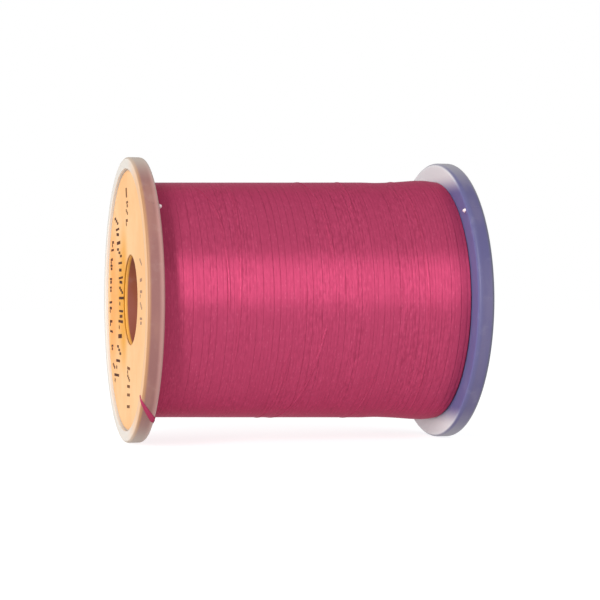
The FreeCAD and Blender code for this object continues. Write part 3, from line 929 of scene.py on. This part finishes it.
    run = product(tree, turns, full_turn * middle_radius)
    laid = add_node(tree, "ShaderNodeCombineXYZ", {"X": run, "Y": sideways}).outputs[0]
    marked = add_node(
        tree,
        "GeometryNodeStoreNamedAttribute",
        {"Geometry": sheet, "Name": "thread_place", "Value": laid},
        data_type="FLOAT2",
        domain="CORNER",
    ).outputs[0]
    rolled = add_node(tree, "GeometryNodeSetPosition", {"Geometry": marked, "Position": place}).outputs[0]
    seam_wires = {"Geometry": rolled, "Distance": 0.0002 * mm}
    closed = add_node(tree, "GeometryNodeMergeByDistance", seam_wires).outputs[0]
    backwards = reckon(tree, "LESS_THAN", given["Turns"], 0.0)
    flip_wires = {"Mesh": closed, "Selection": backwards}
    outward = add_node(tree, "GeometryNodeFlipFaces", flip_wires).outputs[0]
    smooth = add_node(tree, "GeometryNodeSetShadeSmooth", {"Geometry": outward}).outputs[0]
    deliver(tree, smooth, wanted)
    return tree


winding = make_winding()
start = bpy.data.meshes.new("last_turns")
grown("last_turns", start, winding, laid_thread, {}, "thread", "thread_outer_turns")

# The crossing turns, as (start angle and sweep in degrees, start and finish along, bend).
crossings = (
    (82.0, -100.0, -9.2, -6.85, 4.0),
    (78.0, -120.0, -5.5, -6.3, 1.0),
    (100.0, -95.0, 0.2, 1.3, 1.5),
    (120.0, -200.0, 8.2, 8.8, 1.0),
    (30.0, 110.0, 3.2, 4.4, 1.0),
    (-20.0, -130.0, 5.0, 3.6, 1.0),
    (-10.0, -120.0, -2.0, -3.2, 1.0),
    (200.0, 160.0, -4.0, 1.0, 1.0),
    (170.0, 90.0, 6.0, 8.5, 1.0),
)
for number, (start_angle, sweep, start, finish, bend) in enumerate(crossings, start=1):
    settings = {
        "Turns": sweep / 360,
        "Steps": 90,
        "Start Angle": math.radians(start_angle),
        "Start": start * mm,
        "Finish": finish * mm,
        "Width": 0.2 * mm,
        "Crown": 0.03 * mm,
        "Lift": 0.03 * mm,
        "Dive": 0.05 * mm,
        "Tilt": 0.0,
        "Bend": bend,
        "Wander": 0.02 * mm,
        "Seed": 10.0 + number,
    }
    name = f"crossing_turn_{number}"
    grown(name, bpy.data.meshes.new(name), winding, laid_thread, settings, "thread")

for name in ("thread_bulk", "thread_start"):
    refinished(name, shaded_packed_thread)

# ---------------------------------------------------------------------------------------------
# Thread end. The loose end climbs the front flange, lies slantwise over its rim, flat and a little
# spread, narrows as it crosses the lip, and is pinched down on the ring beside the label.
# ---------------------------------------------------------------------------------------------
climb_angle = math.radians(-55)
leave_angle = math.radians(-42)
foot_radius = 9.0 * mm
spread_width = 0.46 * mm
pinched_width = 0.27 * mm
ring_width = 0.25 * mm


def end_stations():
    """Places along the thread end, as (angle, radius, along, turn, width). Turn is how far the
    surface has turned there: 0 on the thread side, a quarter on the rim, a half on the end face."""
    stations = []
    slant = (leave_angle - climb_angle) / (end_face - inner_face)
    quarter = math.pi / 2
    for step in range(10):
        radius = foot_radius + (rim_radius - inner_round - foot_radius) * step / 10
        angle = climb_angle - slant * (rim_radius - radius) * 0.8
        stations.append((angle, radius, inner_face, 0.0, spread_width))
    for step in range(8):
        turn = quarter * step / 7
        radius = rim_radius - inner_round + inner_round * math.sin(turn)
        along = inner_face + inner_round - inner_round * math.cos(turn)
        stations.append((climb_angle + slant * (along - inner_face), radius, along, turn, spread_width))
    for step in range(1, 12):
        along = inner_face + inner_round + (end_face - inner_face - inner_round - outer_round) * step / 12
        width = spread_width - 0.18 * mm * step / 12
        stations.append((climb_angle + slant * (along - inner_face), rim_radius, along, quarter, width))
    for step in range(8):
        turn = quarter + quarter * step / 7
        along = end_face - outer_round - outer_round * math.cos(turn)
        radius = rim_radius - outer_round + outer_round * math.sin(turn)
        stations.append((climb_angle + slant * (along - inner_face), radius, along, turn, pinched_width))
    for step in range(1, 7):
        radius = rim_radius - outer_round - 0.06 * mm * step
        stations.append((leave_angle, radius, end_face, math.pi, ring_width))
    return stations


end_shape = bmesh.new()
place_layer = end_shape.loops.layers.uv.new("thread_place")
section = ((-1.0, 0.0), (-0.7, 0.75), (0.0, 1.0), (0.7, 0.75), (1.0, 0.0), (0.0, -0.4))
thickness = 0.05 * mm
clearance = 0.004 * mm
spots = []
for angle, radius, along, turn, width in end_stations():
    outward = Vector((math.cos(turn), 0, 0)) + at_angle(angle, 1.0, 0.0) * math.sin(turn)
    spots.append((at_angle(angle, radius, -along), outward, width))
rings = []
for number, (point, outward, width) in enumerate(spots):
    before = spots[max(0, number - 1)][0]
    after = spots[min(len(spots) - 1, number + 1)][0]
    forward = (after - before).normalized()
    across = outward.cross(forward).normalized()
    half = width / 2 * (0.3 if number in (0, len(spots) - 1) else 1.0)
    ring = []
    for over, up in section:
        raised = point + outward * (up * thickness + clearance)
        ring.append(end_shape.verts.new(raised + across * over * half))
    rings.append(ring)
for number, (near, far) in enumerate(zip(rings, rings[1:])):
    for edge in range(len(section)):
        after = (edge + 1) % len(section)
        face = end_shape.faces.new((near[edge], near[after], far[after], far[edge]))
        for loop in face.loops:
            ring = number + (loop.vert in far)
            over = (near + far).index(loop.vert) % len(section)
            loop[place_layer].uv = (ring * 0.12 * mm, section[over][0] * thread_width / 2)
end_shape.faces.new(rings[0])
end_shape.faces.new(reversed(rings[-1]))
thread_end = finished_piece("thread_tail", end_shape, "thread", "thread_end")
thread_end.data.materials.append(laid_thread)

# ---------------------------------------------------------------------------------------------
# Studio. A pale lit table and an even white surround, a tall narrow softbox in front on the left,
# a weaker one on the right, and a long lens level with the spool's axis.
# ---------------------------------------------------------------------------------------------
white = (1.0, 1.0, 1.0, 1.0)
scene = bpy.context.scene
scene.view_settings.view_transform = "Standard"

world = bpy.data.worlds.new("white_surround")
world.use_nodes = True
scene.world = world
tree = world.node_tree
tree.nodes.clear()
surround = add_node(tree, "ShaderNodeBackground", {"Color": white, "Strength": 0.58})
seen = add_node(tree, "ShaderNodeBackground", {"Color": white, "Strength": 1.0})
ray = add_node(tree, "ShaderNodeLightPath").outputs["Is Camera Ray"]
both = add_node(tree, "ShaderNodeMixShader", {0: ray, 1: surround.outputs[0], 2: seen.outputs[0]})
add_node(tree, "ShaderNodeOutputWorld", {"Surface": both.outputs[0]})

table_mesh = bpy.data.meshes.new("table")
reach = 1.5
square = ((-reach, -reach), (reach, -reach), (reach, reach), (-reach, reach))
table_mesh.from_pydata([(across, away, -rim_radius) for across, away in square], [], [(0, 1, 2, 3)])
table = bpy.data.objects.new("table", table_mesh)
scene.collection.objects.link(table)
table_finish, tree, shader, place = new_finish("lit_table")
grain = clouds(tree, place, 40.0)
pale = layered(tree, grain, (0.38, 0.38, 0.38, 1.0), (0.42, 0.42, 0.42, 1.0))
tree.links.new(pale, shader.inputs["Base Color"])
shader.inputs["Roughness"].default_value = 0.9
shader.inputs["Specular IOR Level"].default_value = 0.0
shader.inputs["Emission Color"].default_value = white
ray = add_node(tree, "ShaderNodeLightPath").outputs["Is Camera Ray"]
tree.links.new(reckon(tree, "MULTIPLY_ADD", ray, 0.30, 0.52), shader.inputs["Emission Strength"])
table.data.materials.append(table_finish)


def softbox(name, azimuth, elevation, distance, width, height, power):
    """A rectangular area light that faces the spool from that direction."""
    light = bpy.data.lights.new(name, "AREA")
    light.shape = "RECTANGLE"
    light.size = width
    light.size_y = height
    light.energy = power
    lamp = bpy.data.objects.new(name, light)
    turn, lift = math.radians(azimuth), math.radians(elevation)
    away = Vector((math.sin(turn) * math.cos(lift), -math.cos(turn) * math.cos(lift), math.sin(lift)))
    lamp.location = away * distance
    lamp.rotation_euler = away.to_track_quat("Z", "Y").to_euler()
    scene.collection.objects.link(lamp)


softbox("softbox_left", -41, 0, 0.42, 0.08, 0.62, 3.4)
softbox("fill_right", 40, 0, 0.60, 0.30, 0.60, 0.8)

azimuth = math.radians(-14.34)
distance = 135.4 * mm
camera = bpy.data.cameras.new("level_lens")
camera.lens = 101.75
camera.sensor_width = 36
camera.shift_x = 0.01867
camera.shift_y = -0.0001
camera.clip_start = 0.01
viewer = bpy.data.objects.new("level_lens", camera)
viewer.location = (math.sin(azimuth) * distance, -math.cos(azimuth) * distance, 0)
viewer.rotation_euler = (math.pi / 2, 0, azimuth)
scene.collection.objects.link(viewer)
scene.camera = viewer

bpy.context.view_layer.update()
